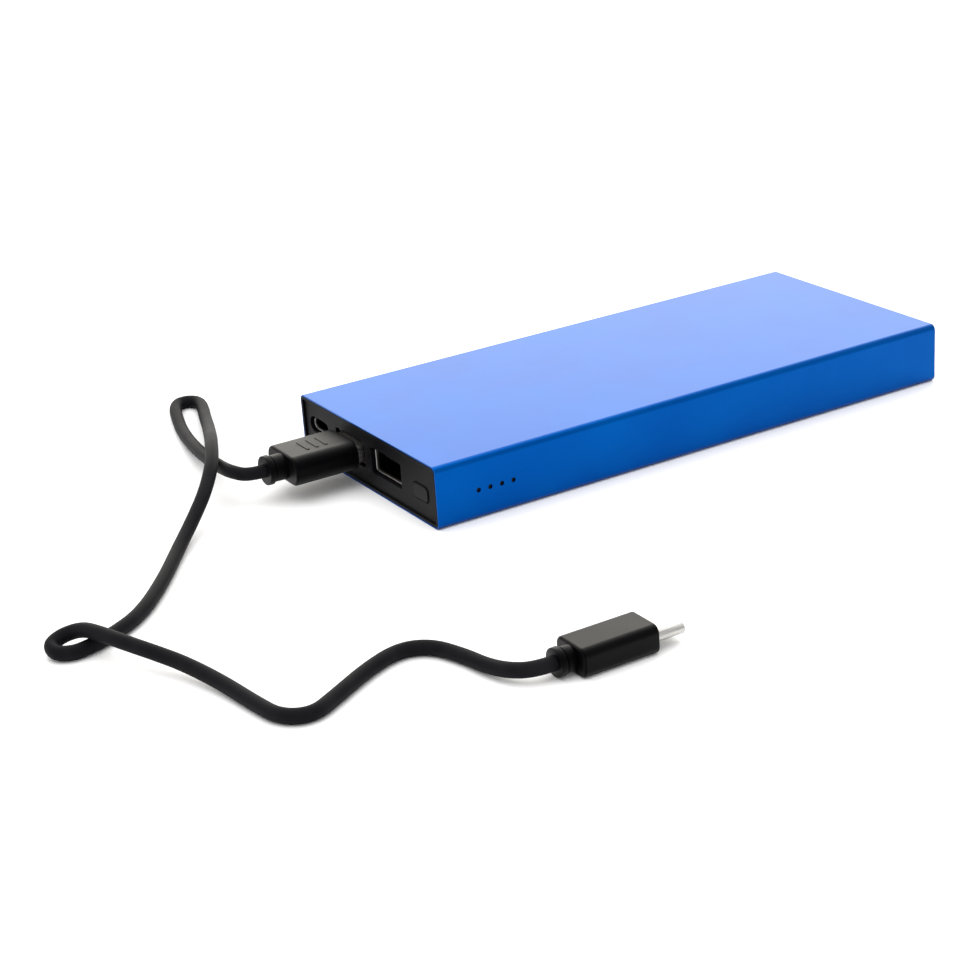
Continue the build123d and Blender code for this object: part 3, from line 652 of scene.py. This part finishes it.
def makeSocket(number):
    s = socket
    low, high = cadBox(f"usb_a_shell_{number}")
    y = (low.y + high.y) / 2
    half = s["width"] / 2
    wall = s["wall"]
    form = bar((low.x, y - half, low.z), (high.x, y + half, high.z), s["radius"], 6)
    inside = bar(
        (low.x - 1, y - half + wall, low.z + wall),
        (high.x - wall, y + half - wall, high.z - wall),
        s["radius"] - wall,
        6,
    )
    form = combine(form, inside)
    # three thin cuts round each spring leaf, through the sheet at the top and underneath
    cuts = []
    cut = s["springCut"]
    start, end = low.x + s["springStart"], low.x + s["springStart"] + s["springLength"]
    for offset in s["springs"]:
        left, right = y + offset - s["springWidth"] / 2, y + offset + s["springWidth"] / 2
        for under, over in ((low.z - 0.5, low.z + 0.5), (high.z - 0.5, high.z + 0.5)):
            cuts.append(((start, left - cut, under), (end, left, over)))
            cuts.append(((start, right, under), (end, right + cut, over)))
            cuts.append(((start - cut, left - cut, under), (start, right + cut, over)))
    for corners in cuts:
        form = combine(form, blocks(corners))
    roundOff(form, edgesAt(form, low.x), s["rimSoft"], 3)
    node = f"usb_a_shell_{number}"
    return put(f"socketShell{number}", form, "socket_metal", "case", node, finish="throat")


def makeSmallSocket():
    low, high = cadBox("usb_c_shell")
    wall = socket["wall"]
    radius = (high.z - low.z) / 2 - 0.01
    form = bar(low, high, radius, 12)
    inside = bar(low + Vector((-1, wall, wall)), high - Vector((wall, wall, wall)), radius - wall, 12)
    form = combine(form, inside)
    roundOff(form, edgesAt(form, low.x), socket["rimSoft"], 3)
    return put("smallSocketShell", form, "socket_metal", "case", "usb_c_shell", finish="throat")


# plugs of the lead
plug = {
    "radius": 2.8,
    "rearSoft": 0.6,
    "frontSoft": 0.35,
    "barSize": (0.9, 6.0, 0.15),
    "barPitch": 2.4,
    "barRadius": 0.4,
    "barSoft": 0.1,
    "barRoot": 0.5,  # how deep a bar is rooted in the top
    "pocket": 4.0,
    "pocketRadius": 0.4,
    "neck": [(0, 0), (0, 3.2), (2.7, 3.15), (2.75, 2.95), (3.2, 2.95), (3.25, 3.55), (4.6, 3.5), (4.6, 0)],
    "soft": 0.18,
}
smallPlug = {
    "radius": 1.8,
    "rearSoft": 0.6,
    "frontSoft": 0.35,
    "pocket": 3.0,
    "pocketRadius": 1.18,
    "neck": [(0, 0), (0, 2.75), (1.9, 2.7), (1.95, 2.5), (2.35, 2.5), (2.4, 3.05), (3.7, 3.0), (3.7, 0)],
    "soft": 0.18,
}


def makePlugBody():
    s = plug
    low, high = cadBox("usb_a_plug_body")
    length, width, height = s["barSize"]
    top = high.z - height
    y = (low.y + high.y) / 2
    form = bar(low, (high.x, high.y, top), s["radius"], 10, s["rearSoft"], s["frontSoft"])
    middle = (low.x + high.x) / 2
    for step in (-1, 0, 1):
        x = middle + step * s["barPitch"]
        root = (x - length / 2, y - width / 2, top - s["barRoot"])
        grip = blocks((root, (x + length / 2, y + width / 2, high.z)))
        roundOff(grip, edgesAlong(grip, 2), s["barRadius"], 6)
        roundOff(grip, sharpEdges(grip, lambda point: abs(point.z - high.z) < 0.001), s["barSoft"], 3)
        form = combine(form, grip, "UNION")
    shellLow, shellHigh = cadBox("usb_a_plug_shell")
    pocket = bar((high.x - s["pocket"], *shellLow.yz), (high.x + 1, *shellHigh.yz), s["pocketRadius"], 6)
    form = combine(form, pocket)
    return put("plugMoulding", form, "plug_moulding", "charging_lead", "usb_a_plug_body")


def makeSmallPlugBody():
    s = smallPlug
    low, high = cadBox("usb_c_plug_body")
    form = bar(low, high, s["radius"], 10, s["rearSoft"], s["frontSoft"])
    shellLow, shellHigh = cadBox("usb_c_plug_shell")
    pocket = bar((high.x - s["pocket"], *shellLow.yz), (high.x + 1, *shellHigh.yz), s["pocketRadius"], 10)
    form = combine(form, pocket)
    return put("smallPlugMoulding", form, "plug_moulding", "charging_lead", "usb_c_plug_body")


def makeRelief(name, settings, node):
    low, high = cadBox(node)
    form = turned(settings["neck"], high.x, (low.y + high.y) / 2, (low.z + high.z) / 2, settings["soft"])
    return put(name, form, "plug_moulding", "charging_lead", node)


# metal shells of the plugs
plugTin = {
    "wall": 0.3,
    "radius": 0.5,
    "insideRadius": 0.2,
    "rimSoft": 0.1,
    "holes": (-2.85, 2.85),
    "holeSize": (1.9, 2.3),
    "holeSetback": 5.2,
}
smallPlugTin = {"wall": 0.25, "radius": 1.19, "insideRadius": 0.94, "rimSoft": 0.09}


def openTube(low, high, settings, segments, insideSegments):
    inset = Vector((-1, settings["wall"], settings["wall"]))
    form = bar(low, high, settings["radius"], segments)
    inside = bar(low + inset, high - inset, settings["insideRadius"], insideSegments)
    return combine(form, inside)


def makePlugShell():
    s = plugTin
    low, high = cadBox("usb_a_plug_shell")
    form = openTube(low, high, s, 6, 4)
    end = high.x - s["holeSetback"]
    y = (low.y + high.y) / 2
    start = end - s["holeSize"][0]
    half = s["holeSize"][1] / 2
    holes = [
        ((start, y + offset - half, low.z - 1), (end, y + offset + half, high.z + 1))
        for offset in s["holes"]
    ]
    form = combine(form, blocks(*holes))
    roundOff(form, edgesAt(form, high.x), s["rimSoft"], 3)
    return put("plugShell", form, "socket_metal", "charging_lead", "usb_a_plug_shell")


def makeSmallPlugShell():
    low, high = cadBox("usb_c_plug_shell")
    form = openTube(low, high, smallPlugTin, 12, 12)
    roundOff(form, edgesAt(form, high.x), smallPlugTin["rimSoft"], 3)
    return put("smallPlugShell", form, "socket_metal", "charging_lead", "usb_c_plug_shell")


makeSleeve()
makePortCap()
makeRearCap()
makeButton()
for number in (1, 2):
    makeSocket(number)
makeSmallSocket()
leadPieces = [
    makePlugBody(),
    makeSmallPlugBody(),
    makeRelief("plugRelief", plug, "usb_a_strain_relief"),
    makeRelief("smallPlugRelief", smallPlug, "usb_c_strain_relief"),
    makePlugShell(),
    makeSmallPlugShell(),
    frame["nodes"]["usb_a_plug_insert"],
    frame["nodes"]["usb_a_plug_contacts"],
    frame["nodes"]["usb_c_plug_insert"],
]
print("pieces modelled")


# cord: from the USB-A plug's collar to the USB-C plug's collar
lead = {
    "diameter": 3.2,
    "length": 380,
    "route": [
        (-95.4, 8.6, 7.9),
        (-99.7, 8.6, 7.9),
        (-102.0, 12.8, 8.2),
        (-101.9, 18.0, 7.6),
        (-100.8, 25.5, 6.4),
        (-98.6, 37.9, 4.5),
        (-95.5, 51.3, 2.6),
        (-92.7, 62.5, 1.6),
        (-90.9, 68.4, 1.6),
        (-88.9, 74.6, 1.6),
        (-87.1, 79.2, 1.6),
        (-84.9, 82.0, 1.6),
        (-81.8, 81.8, 1.6),
        (-80.3, 78.6, 1.7),
        (-82.1, 72.4, 2.0),
        (-84.9, 65.4, 2.6),
        (-88.9, 54.4, 4.2),
        (-94.1, 41.3, 7.2),
        (-99.7, 27.7, 10.6),
        (-105.3, 15.2, 10.6),
        (-110.9, 7.7, 7.4),
        (-117.3, 1.8, 3.8),
        (-124.8, -6.3, 1.6),
        (-134.1, -19.4, 1.6),
        (-144.5, -31.8, 1.6),
        (-153.0, -37.3, 1.6),
        (-158.3, -39.2, 1.6),
        (-162.7, -40.4, 1.6),
        (-166.0, -38.5, 1.7),
        (-165.9, -34.8, 2.2),
        (-162.5, -33.9, 3.1),
        (-159.3, -37.3, 4.8),
        (-157.6, -43.2, 5.3),
        (-155.4, -49.6, 5.2),
        (-151.8, -56.0, 4.3),
        (-148.2, -62.0, 3.1),
        (-145.0, -71.8, 1.9),
        (-143.5, -83.0, 1.6),
        (-142.2, -91.0, 1.6),
        (-136.9, -94.2, 1.6),
        (-129.8, -90.2, 1.6),
        (-120.3, -84.5, 1.6),
        (-111.3, -80.8, 1.6),
        (-105.1, -83.4, 1.6),
        (-102.2, -91.2, 1.6),
        (-101.2, -97.9, 1.8),
        (-99.6, -103.6, 2.5),
        (-96.2, -107.4, 3.1),
        (-91.8, -107.4, 3.1),
    ],
}


def makeCable():
    s = lead
    curve = bpy.data.curves.new("leadCable", "CURVE")
    curve.dimensions = "3D"
    curve.bevel_depth = s["diameter"] / 2 * mm
    curve.bevel_resolution = 7
    curve.resolution_u = 10
    curve.use_fill_caps = True
    line = curve.splines.new("NURBS")
    line.points.add(len(s["route"]) - 1)
    for point, (x, y, z) in zip(line.points, s["route"]):
        point.co = (x * mm, y * mm, z * mm, 1)
    line.order_u = 3
    line.use_endpoint_u = True
    cable = bpy.data.objects.new("leadCable", curve)
    bpy.context.scene.collection.objects.link(cable)
    curve.materials.append(finishes["cable"])
    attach(cable, "charging_lead")
    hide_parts("lead_cable")
    return cable


cable = makeCable()
print("cable laid")

# floor, light and camera
studio = {
    "floorTone": 0.96,
    "fibre": 4 * mm,
    "world": 0.95,
    "lights": {
        # name: (place in metres, size in metres, power in watts, colour)
        "backBox": ((0.9, 1.45, 0.75), (2.6, 1.5), 27, (1.0, 0.965, 0.86)),
        "overheadBox": ((-0.15, 0.1, 1.5), (2.2, 1.8), 20, (1.0, 1.0, 1.0)),
    },
}


def makeStudio():
    s = studio
    form = bmesh.new()
    bmesh.ops.create_grid(form, x_segments=1, y_segments=1, size=4)
    mesh = bpy.data.meshes.new("floor")
    form.to_mesh(mesh)
    form.free()
    floor = bpy.data.objects.new("floor", mesh)
    bpy.context.scene.collection.objects.link(floor)
    paper, shader, place = startFinish("paper", {"Specular IOR Level": 0.2})
    fibre = noise(place, s["fibre"], 3.0)
    shade = s["floorTone"]
    feed(shader, "Base Color", tone(fibre, (shade,) * 3, (shade + 0.02,) * 3))
    feed(shader, "Roughness", 0.8 + 0.1 * (fibre - 0.5))
    mesh.materials.append(paper)
    world = bpy.data.worlds.new("studio")
    world.use_nodes = True
    background = world.node_tree.nodes["Background"]
    background.inputs["Color"].default_value = (1, 1, 1, 1)
    background.inputs["Strength"].default_value = s["world"]
    bpy.context.scene.world = world
    for name, (place, size, power, colour) in s["lights"].items():
        light = bpy.data.lights.new(name, "AREA")
        light.shape = "RECTANGLE"
        light.size, light.size_y = size
        light.energy = power
        light.color = colour
        lamp = bpy.data.objects.new(name, light)
        lamp.location = place
        lamp.rotation_euler = (-Vector(place)).to_track_quat("-Z", "Y").to_euler()
        bpy.context.scene.collection.objects.link(lamp)
    bpy.context.scene.view_settings.view_transform = "Standard"


viewpoint = {
    "place": (-0.28809, -0.42380, 0.19243),
    "angles": (67.873, 3.816, -31.611),
    "lens": 81.74,
    "sensor": 36.0,
}


def makeCamera():
    s = viewpoint
    data = bpy.data.cameras.new("camera")
    data.lens = s["lens"]
    data.sensor_width = s["sensor"]
    data.clip_start = 0.01
    camera = bpy.data.objects.new("camera", data)
    camera.location = s["place"]
    camera.rotation_euler = [radians(angle) for angle in s["angles"]]
    bpy.context.scene.collection.objects.link(camera)
    bpy.context.scene.camera = camera


makeStudio()
makeCamera()
print("studio and camera set")
